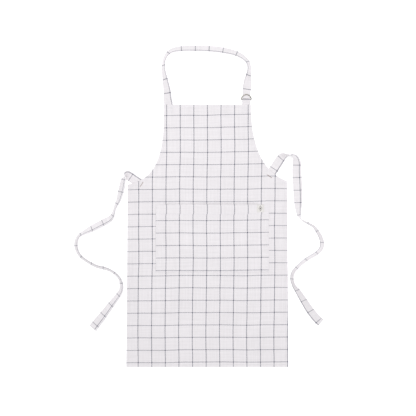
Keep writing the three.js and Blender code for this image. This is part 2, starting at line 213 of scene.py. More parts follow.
print("shader maths ready")

# %% [markdown]
# ## The check cloth
# The cloth is a plain weave: warp threads up the length and weft threads across, each going over and
# under the next. Every so often a few threads of either set are navy instead of white. Where a navy
# warp thread crosses white weft, only every other crossing shows navy, so the line looks half as dark,
# and where navy crosses navy the spot is full dark. Working it out thread by thread gives both for
# free. Each cloth piece carries a map called cloth that says where on the cut cloth a point lies, in
# metres, so the lines follow the folds.

# %% Check cloth
WARP_PITCH, WARP_THREADS = 46.7 * MM, 80  # from a lengthwise line to the next, and threads between
WEFT_PITCH, WEFT_THREADS = 42.4 * MM, 72
LINE_HALF = 2.5  # threads, half of the navy ones in a line
WHITE_THREAD = (0.806, 0.776, 0.795)
NAVY_THREAD = (0.018, 0.026, 0.074)


def line_mask(count, threads, half):
    """1 on the threads that are less than half a line from its middle one, 0 on the rest. A line comes
    round once in every so many threads."""
    from_line = abs((count / threads + 0.5).fract() - 0.5) * threads
    return from_line < half


def streaks(finish, cloth, across, along, low, high):
    """Light streaks much longer than wide, from low to high, as uneven yarn makes."""
    place = finish.vector("MULTIPLY", cloth, (across, along, 1.0))
    cloudy = finish.noise(place, 1.0, 3.0, 0.6)
    sockets = {"Value": cloudy, "From Min": 0.3, "From Max": 0.7, "To Min": low, "To Max": high}
    return finish.node("ShaderNodeMapRange", {}, sockets)


def check_cloth(name, tone=1.0, crease=0.5):
    """The woven cloth. Tone scales its lightness, and crease is the depth of its wrinkles in mm."""
    finish = Finish(name, Sheen_Weight=0.18, Sheen_Roughness=0.45, Specular_IOR_Level=0.25)
    flat = finish.node("ShaderNodeUVMap", {"uv_map": "cloth"}, ())
    drift = finish.vector("SUBTRACT", finish.node(
        "ShaderNodeTexNoise", {}, {"Vector": flat, "Scale": 22.0, "Detail": 2.0}, 1), (0.5, 0.5, 0.5))
    cloth = finish.vector("ADD", flat, finish.vector("MULTIPLY", drift, (0.0018, 0.0018, 0.0)))
    across, along = finish.axes(cloth)
    warp_at, weft_at = across * (WARP_THREADS / WARP_PITCH), along * (WEFT_THREADS / WEFT_PITCH)
    warp_count, weft_count = warp_at.floor(), weft_at.floor()
    warp_line = line_mask(warp_count, WARP_THREADS, LINE_HALF)
    weft_line = line_mask(weft_count, WEFT_THREADS, LINE_HALF)

    turns = (warp_at * np.pi).sin() * (weft_at * np.pi).sin()
    warp_over = turns * 0.42 + 0.56
    each_warp, each_weft = (
        finish.node("ShaderNodeTexWhiteNoise", {"noise_dimensions": "1D"}, {"W": count})
        for count in (warp_count, weft_count))
    uneven = (each_warp + each_weft) * 0.045 + 0.955
    slubs = (streaks(finish, cloth, 170.0, 9.0, 0.962, 1.02)
             * streaks(finish, cloth, 9.0, 190.0, 0.955, 1.02))
    wash = finish.noise(cloth, 7.0, 3.0) * 0.05 + 0.975
    light = uneven * slubs * wash * tone

    warp_colour = finish.mix(warp_line, WHITE_THREAD, NAVY_THREAD)
    weft_colour = finish.mix(weft_line, WHITE_THREAD, NAVY_THREAD)
    woven = finish.mix(warp_over, weft_colour, warp_colour)
    shade = finish.node("ShaderNodeCombineXYZ", {}, (light, light, light))
    colour = finish.mix(1.0, woven, shade, "MULTIPLY")

    warp_round, weft_round = abs((warp_at * np.pi).sin()), abs((weft_at * np.pi).sin())
    crowns = warp_round * warp_over + weft_round * (1 - warp_over)
    rumple = finish.noise(cloth, 34.0, 4.0, 0.55)
    ripple = finish.noise(finish.vector("MULTIPLY", cloth, (1.0, 0.45, 1.0)), 11.0, 2.0)
    wrinkled = finish.bump(rumple * 0.6 + ripple * 1.6, crease * MM)
    finish.set(Base_Color=colour, Roughness=slubs * 0.12 + 0.78,
               Normal=finish.bump(crowns, 0.10 * MM, wrinkled))
    print(name, "made of", len(finish.tree.nodes), "nodes")
    return finish.material


cloth_finish = check_cloth("check_cloth")
turned_finish = check_cloth("turned_cloth", tone=0.975, crease=0.3)
strip_finish = check_cloth("strip_cloth", tone=1.02, crease=0.55)

# %% [markdown]
# ## Thread, label and brass
# Sewing thread is two strands twisted together, which shows as slanting ribs with painted shade in their
# grooves. The tie tacks are worked in brown thread. The label is fine beige ribbon with a plain diamond
# woven in. The rings are brass that has been darkened and has worn bright again where cloth rubs it.

# %% Thread finish


def thread_finish(name, colour, dark):
    """Twisted thread: slanting ribs along the stitch, with painted shade in the grooves between them, and
    a little uneven in tone.
    """
    finish = Finish(name, Sheen_Weight=0.3, Specular_IOR_Level=0.4)
    x, y = finish.axes(finish.node("ShaderNodeUVMap", {"uv_map": "cloth"}, ()))
    ribs = ((x * 2600.0 + y * 3400.0) * np.pi).sin() * 0.5 + 0.5
    place = finish.node("ShaderNodeTexCoord", {}, (), "Object")
    patchy = finish.noise(place, 160.0, 2.0)
    finish.set(
        # The ribs darken the colour in their grooves, which is painted shade between the strands; the
        # patchy noise is the thread's own uneven tone.
        Base_Color=finish.mix(ribs * 0.45 + patchy * 0.4, dark, colour),
        Roughness=patchy * 0.2 + 0.5,
        Normal=finish.bump(ribs, 0.06 * MM),
    )
    return finish.material


# The second colour of each thread serves both as painted shade in the rib grooves and as its darker
# patches.
white_thread = thread_finish("seam_thread", (0.83, 0.83, 0.86), (0.55, 0.55, 0.60))
brown_thread = thread_finish("tack_thread", (0.36, 0.21, 0.13), (0.15, 0.08, 0.05))

# %% Label finish


def label_finish():
    """Fine ribbon in beige, with the dark outline of a diamond and a smaller solid one inside it."""
    finish = Finish("label_cloth", Sheen_Weight=0.2, Specular_IOR_Level=0.3)
    flat = finish.node("ShaderNodeUVMap", {"uv_map": "cloth"}, ())
    x, y = finish.axes(flat)
    from_middle = abs(x) + abs(y) * 0.62
    ring = (from_middle < 6.2 * MM) - (from_middle < 4.9 * MM)
    heart = from_middle < 2.5 * MM
    ribs = (x * (np.pi / (0.35 * MM))).sin() * (y * (np.pi / (0.28 * MM))).sin()
    device = ring + heart
    ground = finish.mix(finish.noise(flat, 300.0, 2.0), (0.70, 0.675, 0.645), (0.78, 0.76, 0.735))
    finish.set(
        Base_Color=finish.mix(device * 0.92, ground, (0.085, 0.080, 0.072)),
        Roughness=finish.noise(flat, 500.0) * 0.2 + 0.6,
        Normal=finish.bump(ribs * 0.5 + device * 0.7, 0.08 * MM),
    )
    return finish.material


ribbon_finish = label_finish()

# %% Brass finish


def brass_finish():
    """Darkened brass that is brighter in worn patches, with fine scratches."""
    finish = Finish("ring_brass", Metallic=1.0)
    place = finish.node("ShaderNodeTexCoord", {}, (), "Object")
    patina = finish.noise(place, 260.0, 4.0, 0.6)
    worn = finish.node("ShaderNodeMapRange", {}, {"Value": patina, "From Min": 0.42, "From Max": 0.62})
    scratches = finish.noise(finish.vector("MULTIPLY", place, (1.0, 9.0, 9.0)), 900.0, 2.0)
    finish.set(
        Base_Color=finish.mix(worn, (0.150, 0.142, 0.120), (0.48, 0.45, 0.38)),
        Roughness=(1 - worn) * 0.25 + scratches * 0.2 + 0.2,
        Normal=finish.bump(patina * 0.6 + scratches * 0.4, 0.05 * MM),
    )
    return finish.material


brass = brass_finish()
print("thread, label and brass finishes made")

# %% Floor finish and floor
FLOOR = cad_low.z / MM
FLOOR_HALF, FLOOR_GAP = 4.0, 0.05  # metres from its middle to its edges, and mm under the apron
floor_finish = Finish("pale_floor", Roughness=0.9, Base_Color=(0.9, 0.9, 0.9, 1), Emission_Strength=0.34)
ground_place = floor_finish.node("ShaderNodeTexCoord", {}, (), "Object")
cloudy = floor_finish.noise(ground_place, 3.0)
floor_finish.set(Base_Color=floor_finish.mix(cloudy, (0.88, 0.88, 0.89), (0.91, 0.91, 0.91)))
floor_finish.surface.inputs["Emission Color"].default_value = (1, 1, 1, 1)
floor_mesh = bpy.data.meshes.new("floor")
floor_corners = [(x * FLOOR_HALF, y * FLOOR_HALF, (FLOOR - FLOOR_GAP) * MM)
                 for x, y in ((-1, -1), (1, -1), (1, 1), (-1, 1))]
floor_mesh.from_pydata(floor_corners, [], [(0, 1, 2, 3)])
floor_mesh.materials.append(floor_finish.material)
ground = bpy.data.objects.new("floor", floor_mesh)
bpy.context.scene.collection.objects.link(ground)
ground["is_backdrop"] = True
print("floor at", round(FLOOR, 2), "mm")

# %% [markdown]
# ## Meshes from grids
# A shape is a grid of points, rows by columns, in millimetres, with the same grid of places on the cut
# cloth. Three kinds of mesh come from grids: a shell, whose top and bottom meet at the rim; a tube,
# whose columns close on themselves; and many copies of one small shape.

# %% Mesh helpers


def add_piece(name, corners, faces, cloth, material):
    """Makes an object from corners in mm, faces as rows of corner numbers, and a map value in mm for
    each corner of a face. Six times the enclosed volume is the sum, over the faces, of the corners'
    triple products, and where that is negative the faces are turned round."""
    corners = np.asarray(corners, float).reshape(-1, 3) * MM
    faces = [np.asarray(f) for f in faces]
    cloth = [np.asarray(c, float) for c in cloth]
    a, b, c, d = (corners[faces[0][:, k]] for k in range(4))
    volume = np.sum(np.cross(a, b) * c) + np.sum(np.cross(a, c) * d)
    if volume < 0:
        faces = [f[:, ::-1] for f in faces]
        cloth = [m[:, ::-1] for m in cloth]
    mesh = bpy.data.meshes.new(name)
    rows = [row for f in faces for row in f.tolist()]
    mesh.from_pydata(corners.tolist(), [], rows)
    values = np.concatenate([m.reshape(-1, 2) for m in cloth]) * MM
    mesh.uv_layers.new(name="cloth").data.foreach_set("uv", values.astype(np.float32).ravel())
    mesh.polygons.foreach_set("use_smooth", np.ones(len(rows), bool))
    mesh.materials.append(material)
    mesh.update()
    piece = bpy.data.objects.new(name, mesh)
    bpy.context.scene.collection.objects.link(piece)
    print(name, len(corners), "corners,", len(rows), "faces")
    return piece


def squares_of(grid):
    """The four corners of each square of a grid, whether the grid holds numbers or map values."""
    around = [grid[:-1, :-1], grid[:-1, 1:], grid[1:, 1:], grid[1:, :-1]]
    return np.stack(around, 2).reshape(-1, 4, *grid.shape[2:])


def closed_numbers(rows, columns):
    """Corner numbers of a grid that closes on itself: its first column comes again as the last."""
    numbers = np.arange(rows * columns).reshape(rows, columns)
    return np.hstack([numbers, numbers[:, :1]])


def shell(name, top, bottom, cloth, material):
    """A sheet with two faces that meet at the rim, where the top's corners serve both."""
    rows, columns = top.shape[:2]
    upper = np.arange(rows * columns).reshape(rows, columns)
    lower = upper.copy()
    inside = (rows - 2) * (columns - 2)
    lower[1:-1, 1:-1] = rows * columns + np.arange(inside).reshape(rows - 2, columns - 2)
    corners = np.vstack([top.reshape(-1, 3), bottom[1:-1, 1:-1].reshape(-1, 3)])
    faces = np.vstack([squares_of(upper), squares_of(lower)[:, ::-1]])
    maps = np.vstack([squares_of(cloth), squares_of(cloth)[:, ::-1]])
    return add_piece(name, corners, [faces], [maps], material)


def laid(name, x, y, top, bottom, cloth, material):
    """A shell over places in plan, between two heights."""
    return shell(name, np.dstack([x, y, top]), np.dstack([x, y, bottom]), cloth, material)


def tube(name, points, cloth, material):
    """A grid whose columns close on themselves, with both ends shut. The map has one column more, for
    the closing squares."""
    closed = closed_numbers(*points.shape[:2])
    faces = [squares_of(closed), closed[:1, -2::-1], closed[-1:, :-1]]
    maps = [squares_of(cloth), cloth[:1, -2::-1], cloth[-1:, :-1]]
    return add_piece(name, points, faces, maps, material)


def both_ways(across, along):
    """A grid of map values from a row or grid across and a column or grid along."""
    return np.dstack(np.broadcast_arrays(across, along))


def plan_box(node):
    """The lowest and highest corner of a CAD node in plan, in mm."""
    return [np.array(corner)[:2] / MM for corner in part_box(node)]


def smooth_step(share):
    """0 up to 0, 1 from 1 on, and an even S between: 3 t^2 - 2 t^3."""
    t = np.clip(share, 0.0, 1.0)
    return t * t * (3 - 2 * t)


def unit(v):
    """Each row of v made one long."""
    return v / np.linalg.norm(v, axis=1, keepdims=True)


print("mesh helpers ready")

# %% [markdown]
# ## The outline of the main panel
# The bib is narrow and the skirt wide, and a curved armhole joins the two on each side. The sides are
# not quite alike, because the apron lies a little askew. Every later piece asks how far a point is from
# this outline, because the hem, its stitches and the puckers they cause all follow it.

# %% Outline
BIB_TOP, BOTTOM = 450.0, -450.0
BIB_HALF, CORNER_HALF, SKIRT_HALF = 149.0, 273.0, 278.0
HEM, HEM_GAP, SEAM_INSET = 10.0, 10.3, 8.2
ARMHOLES = {  # the side, the corner's height, and the two handles of the curve
    "left": (-1, BIB_TOP - 274, 120.0, (0.99, 22.0)),
    "right": (1, BIB_TOP - 262, 80.0, (0.895, 40.0)),
}


def armhole(side_name, share):
    """Points on the armhole at shares t of its curve, a cubic Bezier: its four knots weighted by
    (1-t)^3, 3(1-t)^2 t, 3(1-t) t^2 and t^3, and added up."""
    side, corner_y, down, (handle, rise) = ARMHOLES[side_name]
    handle_x = CORNER_HALF + (BIB_HALF - CORNER_HALF) * handle
    knots = np.array([(BIB_HALF, BIB_TOP), (BIB_HALF, BIB_TOP - down), (handle_x, corner_y + rise),
                      (CORNER_HALF, corner_y)]) * (side, 1)
    t = np.asarray(share, float)[:, None]
    weights = np.hstack([(1 - t) ** 3, 3 * (1 - t) ** 2 * t, 3 * (1 - t) * t ** 2, t ** 3])
    return weights @ knots


def lengths_along(line):
    """How far along a line of points each one is."""
    return np.concatenate([[0.0], np.cumsum(np.linalg.norm(np.diff(line, axis=0), axis=1))])


def spaced_by(reached, values, at):
    """Rows of values, known at the lengths reached, read off at other lengths."""
    return np.stack([np.interp(at, reached, values[:, k]) for k in range(values.shape[1])], 1)


def spaced(line, at):
    """Points of a line at the given lengths along it."""
    return spaced_by(lengths_along(line), line, at)


def evenly_spaced(line, count):
    """A line as a number of points, evenly spaced."""
    return spaced(line, lengths_along(line)[-1] * np.linspace(0, 1, count))


def edge_line(name):
    """An edge of the panel as close points, walked with the cloth on its left."""
    fine = np.linspace(0, 1, 241)
    left, right = armhole("left", fine), armhole("right", fine[::-1])
    low_left, low_right = (-SKIRT_HALF, BOTTOM), (SKIRT_HALF, BOTTOM)
    lines = {
        "bottom": [low_left, low_right], "right_side": [low_right, right[0]], "right_armhole": right,
        "bib_top": [right[-1], left[0]], "left_armhole": left, "left_side": [left[-1], low_left]}
    return np.array(lines[name])


EDGES = ("bottom", "right_side", "right_armhole", "bib_top", "left_armhole", "left_side")
outline = np.vstack([evenly_spaced(edge_line(n), 40)[:-1] for n in EDGES])
starts, ends = outline, np.roll(outline, -1, axis=0)
run_before = np.concatenate([[0.0], np.cumsum(np.linalg.norm(ends - starts, axis=1))[:-1]])


def from_edge(x, y):
    """How far each point is inside the outline, and how far round the outline its nearest place is.
    Each stretch of the outline gives the nearest point on it, and the smallest distance wins."""
    point = np.stack([np.ravel(x), np.ravel(y)], 1)[:, None]
    stretch = ends - starts
    size = np.sum(stretch ** 2, 1)
    share = np.clip(np.sum((point - starts) * stretch, 2) / size, 0, 1)
    off = np.linalg.norm(point - starts - share[..., None] * stretch, axis=2)
    nearest = np.argmin(off, 1)
    pick = np.arange(len(nearest))
    around = run_before[nearest] + share[pick, nearest] * np.sqrt(size[nearest])
    return off[pick, nearest].reshape(np.shape(x)), around.reshape(np.shape(x))


print("outline of", len(outline), "points,", round(float(run_before[-1])), "mm round")

# %% [markdown]
# ## How the cloth lies
# The panel rests on the floor by its hems, but four strip ends are sewn behind it and hold it up there.
# Between them the thin cloth sinks, and a few broad waves are left from handling. One function gives
# the height at any place, and every layer asks it, so nothing cuts through anything.

# %% Height of the laid cloth
CLOTH = 0.8  # mm, the cloth's thickness
held_up = [np.mean(plan_box(n), axis=0)
           for n in ("neck_strap_end", "ring_tab_end", "left_tie_end", "right_tie_end")]


def waves(x, y):
    """Broad low waves: four slanting sine waves of different lengths added up, never below 0."""
    mixed = (np.sin(x / 47 + y / 81 + 0.6) + 0.8 * np.sin(x / 83 - y / 53 + 2.1)
             + 0.6 * np.sin(x / 29 + y / 140 + 4.0) + 0.6 * np.sin(y / 36 - x / 190 + 1.3))
    return 0.42 * (mixed + 3.0)


def cloth_height(x, y):
    """Height of the panel's back face in mm: low where only the hem holds it, level over the strip
    ends, sunk inside the hem, and drawn into small puckers along the stitches."""
    inside, around = from_edge(x, y)
    near = [np.hypot(x - c[0], y - c[1]) for c in held_up]
    lifted = np.max([smooth_step((74 - n) / 44) for n in near], axis=0)
    laid = (1 - lifted) * (waves(x, y) - 1.85)
    sunk = -0.9 * smooth_step((inside - 8.6) / 7) * (1 - lifted)
    uneven = 1 + 0.5 * np.sin(around / 71)
    pucker = 0.26 * uneven * np.sin(around / 2.35 + 1.2 * np.sin(around / 17) - inside * 0.25)
    return laid + sunk + pucker * np.exp(-((inside - 6.5) / 5.5) ** 2) * smooth_step(inside / 2)


at_middle = float(cloth_height(np.zeros(1), np.zeros(1))[0])
print("cloth height at the middle", round(at_middle, 2), "mm")

# %% [markdown]
# ## Main panel
# The panel is a grid that stretches from the left edge to the right edge, row by row from the bib's top
# to the bottom. Its rows and columns crowd together by the edges, where the rolled fold and the line of
# stitches need fine detail, and are about 4 mm apart elsewhere.

# %% Panel grid
EDGE_STEPS = np.array([0.0, 0.12, 0.45, 1.0, 3.2, 5.6, 7.2, 8.2, 9.2, 11.0, 14.0])  # mm inwards
PANEL_SPACING, POCKET_SPACING = 4.1, 3.2  # mm between rows and columns elsewhere
HOLE_POINTS = 400  # points along an armhole


def crowded(length, spacing):
    """Places from 0 to a length, crowded at both ends and evenly spaced between."""
    middle = np.linspace(EDGE_STEPS[-1], length - EDGE_STEPS[-1], int(length / spacing))[1:-1]
    return np.concatenate([EDGE_STEPS, middle, length - EDGE_STEPS[::-1]])


def panel_places():
    """The grid's places in plan: rows down the panel, columns from its left edge to its right."""
    left, right = (evenly_spaced(edge_line(f"{n}_armhole"), HOLE_POINTS) for n in ("left", "right"))
    left = np.vstack([left, edge_line("left_side")[1:]])
    right = np.vstack([right[::-1], edge_line("right_side")[:1]])
    upper, lower = 310.0, 630.0  # about the lengths of an armhole and a side
    rows = crowded(upper + lower, PANEL_SPACING)
    pair = []
    for line in (left, right):
        reached = lengths_along(line)
        corner = reached[HOLE_POINTS - 1]
        below = corner + (rows - upper) * (reached[-1] - corner) / lower
        pair.append(spaced(line, np.where(rows < upper, rows * corner / upper, below)))
    columns = crowded(2 * SKIRT_HALF, PANEL_SPACING)
    steps, deep = len(EDGE_STEPS), EDGE_STEPS[-1]
    grid = np.zeros((len(rows), len(columns), 2))
    sideways = np.array([1.0, 0.0])
    grid[:, :steps] = pair[0][:, None] + sideways * EDGE_STEPS[:, None]
    grid[:, -steps:] = pair[1][:, None] - sideways * EDGE_STEPS[::-1, None]
    share = ((columns[steps:-steps] - deep) / (2 * SKIRT_HALF - 2 * deep))[:, None]
    grid[:, steps:-steps] = grid[:, steps - 1][:, None] * (1 - share) + grid[:, -steps][:, None] * share
    return grid


places = panel_places()
print("panel grid", places.shape[:2])

# %% Panel surface


def on_cloth(x, y):
    """Where a place on the laid panel is on the cut cloth: square to it, apart from the slight lean
    and sway that laying it down gives."""
    lean = 0.0063 * (y - 181)
    u = x + 1.4 - lean + 0.8 * np.sin(y / 63 + x / 400) + 0.3 * np.sin(y / 29 + 1.0)
    rise = 0.0055 + 0.0125 * smooth_step((y - 150) / 250)
    v = y - 159.8 - rise * x + 0.8 * np.sin(x / 58 + y / 300) + 0.3 * np.sin(x / 23 + 2.0)
    return np.stack([u, v], -1)


def rolled(inside, radius):
    """How far a rolled edge falls within its radius of the edge: a quarter circle."""
    out = np.clip(1 - inside / radius, 0, 1)
    return radius * (1 - np.sqrt(1 - out ** 2))


def panel_top(x, y):
    """Height of the panel's front face, with the rolled edge and the groove that the stitches pull."""
    inside, _ = from_edge(x, y)
    groove = 0.28 * np.exp(-((inside - SEAM_INSET) / 0.75) ** 2)
    return cloth_height(x, y) + CLOTH - rolled(inside, 1.0) - groove


X, Y = places[..., 0], places[..., 1]
inside, _ = from_edge(X, Y)
top_z = panel_top(X, Y)
bottom_z = top_z + rolled(inside, 1.0) - CLOTH - 0.2 * np.clip(1 - inside, 0, 1)
panel = laid("panel_cloth", X, Y, top_z, bottom_z, on_cloth(X, Y), cloth_finish)
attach(panel, "apron")
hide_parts("main_panel")

# %% [markdown]
# ## Hems
# Each edge is turned under twice and stitched, so a narrow band of the cloth's other side shows behind.
# The band is a profile, round on the outside where it meets the panel's roll and folded on the inside,
# carried along the edge.

# %% Hem bands
HEM_PROFILE = np.array([  # inwards from the edge, and height against the panel's back face
    (0.03, -0.25), (0.10, -0.62), (0.30, -0.90), (0.62, -1.10), (1.0, -1.18), (3.0, -1.2), (6.0, -1.19),
    (7.6, -1.14), (8.2, -1.06), (8.8, -1.14), (9.6, -1.17), (9.9, -1.02), (10.0, -0.75), (9.9, -0.48),
    (9.6, -0.33), (8.2, -0.30), (4.0, -0.30), (1.0, -0.28)])
TRIMS = {  # how much of each edge its hem leaves bare at its start and end
    "bottom": (0.3, 0.3), "right_side": (HEM_GAP, 0.4), "right_armhole": (HEM_GAP, HEM_GAP),
    "bib_top": (0.3, 0.3), "left_armhole": (HEM_GAP, HEM_GAP), "left_side": (0.4, HEM_GAP)}


def along_edge(name, spacing, trims=None):
    """Evenly spaced points along an edge, and the direction inwards at each."""
    line = edge_line(name)
    total = lengths_along(line)[-1]
    low, high = trims or TRIMS[name]
    at = np.linspace(low, total - high, max(int((total - low - high) / spacing), 2))
    close = np.linspace(0, total, 600)
    ahead = np.gradient(spaced(line, close), axis=0)
    into = unit(np.stack([-ahead[:, 1], ahead[:, 0]], 1))
    return spaced(line, at), spaced_by(close, into, at)


for edge in EDGES:
    line, into = along_edge(edge, 4.0)
    flat = line[:, None] + into[:, None] * HEM_PROFILE[None, :, :1]
    base = cloth_height(flat[..., 0], flat[..., 1])
    solid = np.dstack([flat, base + HEM_PROFILE[None, :, 1]])
    across = np.append(HEM_PROFILE[:, 0], HEM_PROFILE[0, 0])
    where = both_ways(lengths_along(line)[:, None] + 13, 20 - across[None])
    if edge in ("right_side", "left_side", "right_armhole", "left_armhole"):
        where = where[..., ::-1]
    hem = tube(f"{edge}_hem_fold", solid, where, turned_finish)
    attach(hem, "apron")
    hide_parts(f"{edge}_hem")

# %% [markdown]
# ## Stitches
# A row of machine stitches is a row of short arched beads, each diving into the cloth at both ends. One
# bead is worked out once, and numpy lays all the copies of a row in one go. Each copy is a little off
# in direction and length, as real ones are.

# %% Stitch maker
RNG = np.random.default_rng(20)
ARCH, DIVE = 0.22, 0.12  # mm that a bead rises in its middle and dives at its ends
WANDER, UNEVEN = 0.05, 0.05  # how much beads differ in direction and in length


def bead(round_steps=6, long_steps=5):
    """One stitch along X from -1/2 to 1/2, with a radius of 1 that shrinks to its ends, and its map."""
    t = np.linspace(0, 1, long_steps + 1)[:, None]
    turn = np.linspace(0, 2 * np.pi, round_steps, endpoint=False)[None, :]
    radius = 0.25 + 0.75 * np.sin(np.pi * t) ** 0.5
    x = np.broadcast_to(t - 0.5, (long_steps + 1, round_steps))
    return np.dstack([x, radius * np.cos(turn), radius * np.sin(turn)]), np.sin(np.pi * t)


def stitches(name, place, ahead, up, length, thick, material, nodes=(), slot="seam_thread"):
    """A bead at each place, lying ahead and standing up by the given directions, all in mm."""
    shape, rise = bead()
    count = len(place)
    ahead = unit(ahead)
    ahead = unit(ahead + WANDER * RNG.normal(size=(count, 1)) * np.cross(up, ahead))
    side = np.cross(up, ahead)
    long = length * (1 + UNEVEN * RNG.normal(size=(count, 1, 1, 1)))
    lift = (ARCH * rise)[None, :, :, None] - DIVE * (1 - rise)[None, :, :, None]
    s = shape[None]
    corners = (place[:, None, None] + ahead[:, None, None] * s[..., :1] * long
               + side[:, None, None] * s[..., 1:2] * thick / 2
               + up[:, None, None] * (s[..., 2:] * thick / 2 + lift))
    rows, columns = shape.shape[:2]
    closed = closed_numbers(rows, columns)
    first = (np.arange(count) * rows * columns)[:, None, None]  # each bead's first corner
    faces = (squares_of(closed)[None] + first).reshape(-1, 4)
    grid = np.dstack(np.meshgrid(np.arange(columns + 1) / columns * 0.8, np.linspace(0, length, rows)))
    maps = np.tile(squares_of(grid), (count, 1, 1))
    cap = np.stack([closed[0, -2::-1], closed[-1, :-1]])
    caps = (cap[None] + first).reshape(-1, columns)
    piece = add_piece(name, corners, [faces, caps], [maps, np.zeros((len(caps), columns, 2))], material)
    if nodes:
        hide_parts(*nodes)
    return piece


STITCH, STITCH_PITCH, STITCH_THICK = 2.7, 3.3, 0.55


def on_front(points, height, name, nodes=(), material=white_thread, pitch=STITCH_PITCH, length=STITCH):
    """A row along plan points, lying on a surface whose height a function gives."""
    total = lengths_along(points)[-1]
    at = np.arange(pitch / 2, total, pitch)
    middle, fore, aft = (spaced(points, np.clip(at + o, 0, total)) for o in (0, length / 2, -length / 2))
    heights = [height(p[:, 0], p[:, 1]) for p in (middle, fore, aft)]
    place = np.column_stack([middle, heights[0]])
    ahead = np.column_stack([fore - aft, heights[1] - heights[2]])
    up = np.tile((0.0, 0.0, 1.0), (len(at), 1))
    return stitches(name, place, ahead, up, length, STITCH_THICK, material, nodes)


print("stitch maker ready")

# %% Hem stitches, front and back
SEAM_TRIMS = {"bottom": (1, 1), "right_side": (HEM_GAP, 4), "right_armhole": (4, HEM_GAP),
              "bib_top": (1, 1), "left_armhole": (HEM_GAP, 4), "left_side": (4, HEM_GAP)}
for edge in EDGES:
    line, into = along_edge(edge, 2.0, SEAM_TRIMS[edge])
    row = line + into * SEAM_INSET
    seam = on_front(row, panel_top, f"{edge}_stitches", [f"{edge}_thread"])
    line, into = along_edge(edge, 2.0)
    back_row = line + into * SEAM_INSET
    behind = on_front(back_row, lambda x, y: cloth_height(x, y) - 1.14, f"{edge}_back_stitches")
    for piece in (seam, behind):
        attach(piece, "apron")

# %% [markdown]
# ## Patch pocket
# The pocket is one wide piece with its sides and bottom turned under and sewn flat, and a deep hem at
# its mouth. A pocket that has been used never lies quite flat, so it stands off the panel in the middle
# and is drawn tight by its seams.

# %% Pocket surface
pocket_low, pocket_high = plan_box("pocket_panel")
POCKET_HEM, POCKET_SEAM = 34.0, 4.0
TURNED = 9.0  # what is turned under at the pocket's sides
HEM_TAKES = 17.0  # cloth that the hem's fold takes up at its stitches


def in_pocket(x, y):
    """How far a place is in from the pocket's nearer side, up from its foot and down from its mouth."""
    side = np.minimum(x - pocket_low[0], pocket_high[0] - x)
    return side, y - pocket_low[1], pocket_high[1] - y


def pocket_lift(x, y):
    """How far the pocket stands off the panel: nothing at its sewn edges, most in the middle, with
    slack that runs in soft upright folds to the mouth."""
    side, foot, _ = in_pocket(x, y)
    full = smooth_step((side - 6) / 60) * smooth_step((foot - 6) / 70)
    slack = 1 + 0.22 * np.sin(x / 24 + 1.1 * np.sin(y / 75)) + 0.12 * np.sin(x / 11.5 + y / 60)
    return 3.1 * full * slack


def pocket_layers(x, y):
    """How thick the pocket is: double where an edge or the hem is turned under."""
    side, foot, mouth = in_pocket(x, y)
    edge = np.maximum(smooth_step((TURNED - side) / 1.4), smooth_step((TURNED - foot) / 1.4))
    return CLOTH * (1 + 0.8 * np.maximum(edge, smooth_step((POCKET_HEM + 2.5 - mouth) / 1.4)))


def pocket_top(x, y):
    """Height of the pocket's front face, with rolled edges and the grooves of its stitches."""
    side, foot, mouth = in_pocket(x, y)
    rim = np.minimum(np.minimum(side, foot), mouth)
    sewn = np.minimum(side, foot)
    grooves = 0.34 * np.exp(-((sewn - POCKET_SEAM) / 0.8) ** 2)
    grooves = grooves + 0.42 * np.exp(-((mouth - POCKET_HEM) / 0.9) ** 2)
    run = np.where(side < foot, y, x)
    pucker = 0.3 * np.sin(run / 2.4 + 1.3 * np.sin(run / 19)) * np.exp(-((sewn - 7) / 6) ** 2)
    by_hem = np.exp(-((mouth - POCKET_HEM) / 9) ** 2)
    hem_pucker = 0.28 * np.sin(x / 2.6 + 1.5 * np.sin(x / 23)) * by_hem
    droop = smooth_step(rim / 2)
    stand = cloth_height(x, y) + CLOTH + 0.12 + pocket_layers(x, y) + pocket_lift(x, y)
    return stand + (pucker + hem_pucker) * droop - grooves - rolled(rim, 0.8) * 1.4


def on_pocket_cloth(x, y):
    """The pocket's place on the cut cloth: its upright lines carry on from the panel's and its cross
    lines fall half way between them. The hem band has slipped a little sideways, and what its fold
    takes up is skipped at the stitches."""
    flat = on_cloth(x, y)
    above_seam = y - (pocket_high[1] - POCKET_HEM)
    band = smooth_step((above_seam + 3) / 6) * smooth_step((POCKET_HEM + 14 - above_seam) / 26)
    u = flat[..., 0] - 2.0 * band
    v = (y - 52.5) * (42.4 / 42.85) - 0.006 * x + 0.7 * np.sin(x / 49 + 1.0)
    return np.stack([u, v - HEM_TAKES * smooth_step((above_seam + 0.4) / 0.8)], -1)


columns = pocket_low[0] + crowded(pocket_high[0] - pocket_low[0], POCKET_SPACING)
rows = pocket_low[1] + crowded(pocket_high[1] - pocket_low[1], POCKET_SPACING)
hem_rows = pocket_high[1] - POCKET_HEM + np.array([-3.2, -1.6, -0.8, 0.0, 0.8, 1.6])
rows = np.unique(np.round(np.concatenate([rows, hem_rows]), 3))
X, Y = np.meshgrid(columns, rows)
top_z = pocket_top(X, Y)
bottom_z = np.maximum(top_z - pocket_layers(X, Y), cloth_height(X, Y) + CLOTH + 0.05)
pocket = laid("pocket_cloth", X, Y, top_z, bottom_z, on_pocket_cloth(X, Y), cloth_finish)
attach(pocket, "apron")
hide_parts("pocket_panel")

# %% Pocket hem behind the mouth
columns = np.linspace(pocket_low[0] + 11, pocket_high[0] - 11, 100)
rows = pocket_high[1] - np.concatenate([[36.0, 35.8, 35.0], np.linspace(33, 4, 12), [2.4, 2.1, 2.0]])
X, Y = np.meshgrid(columns, rows)
under = pocket_top(X, Y) - pocket_layers(X, Y) - 0.05
end_fall = rolled(np.minimum(Y - rows[0], rows[-1] - Y), 0.4)
lowest = np.maximum(under - 0.75, cloth_height(X, Y) + CLOTH + 0.02)
pocket_fold = laid("pocket_hem_fold", X, Y, under - end_fall, lowest,
                   on_pocket_cloth(X, Y + 40), turned_finish)
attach(pocket_fold, "apron")
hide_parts("pocket_hem")

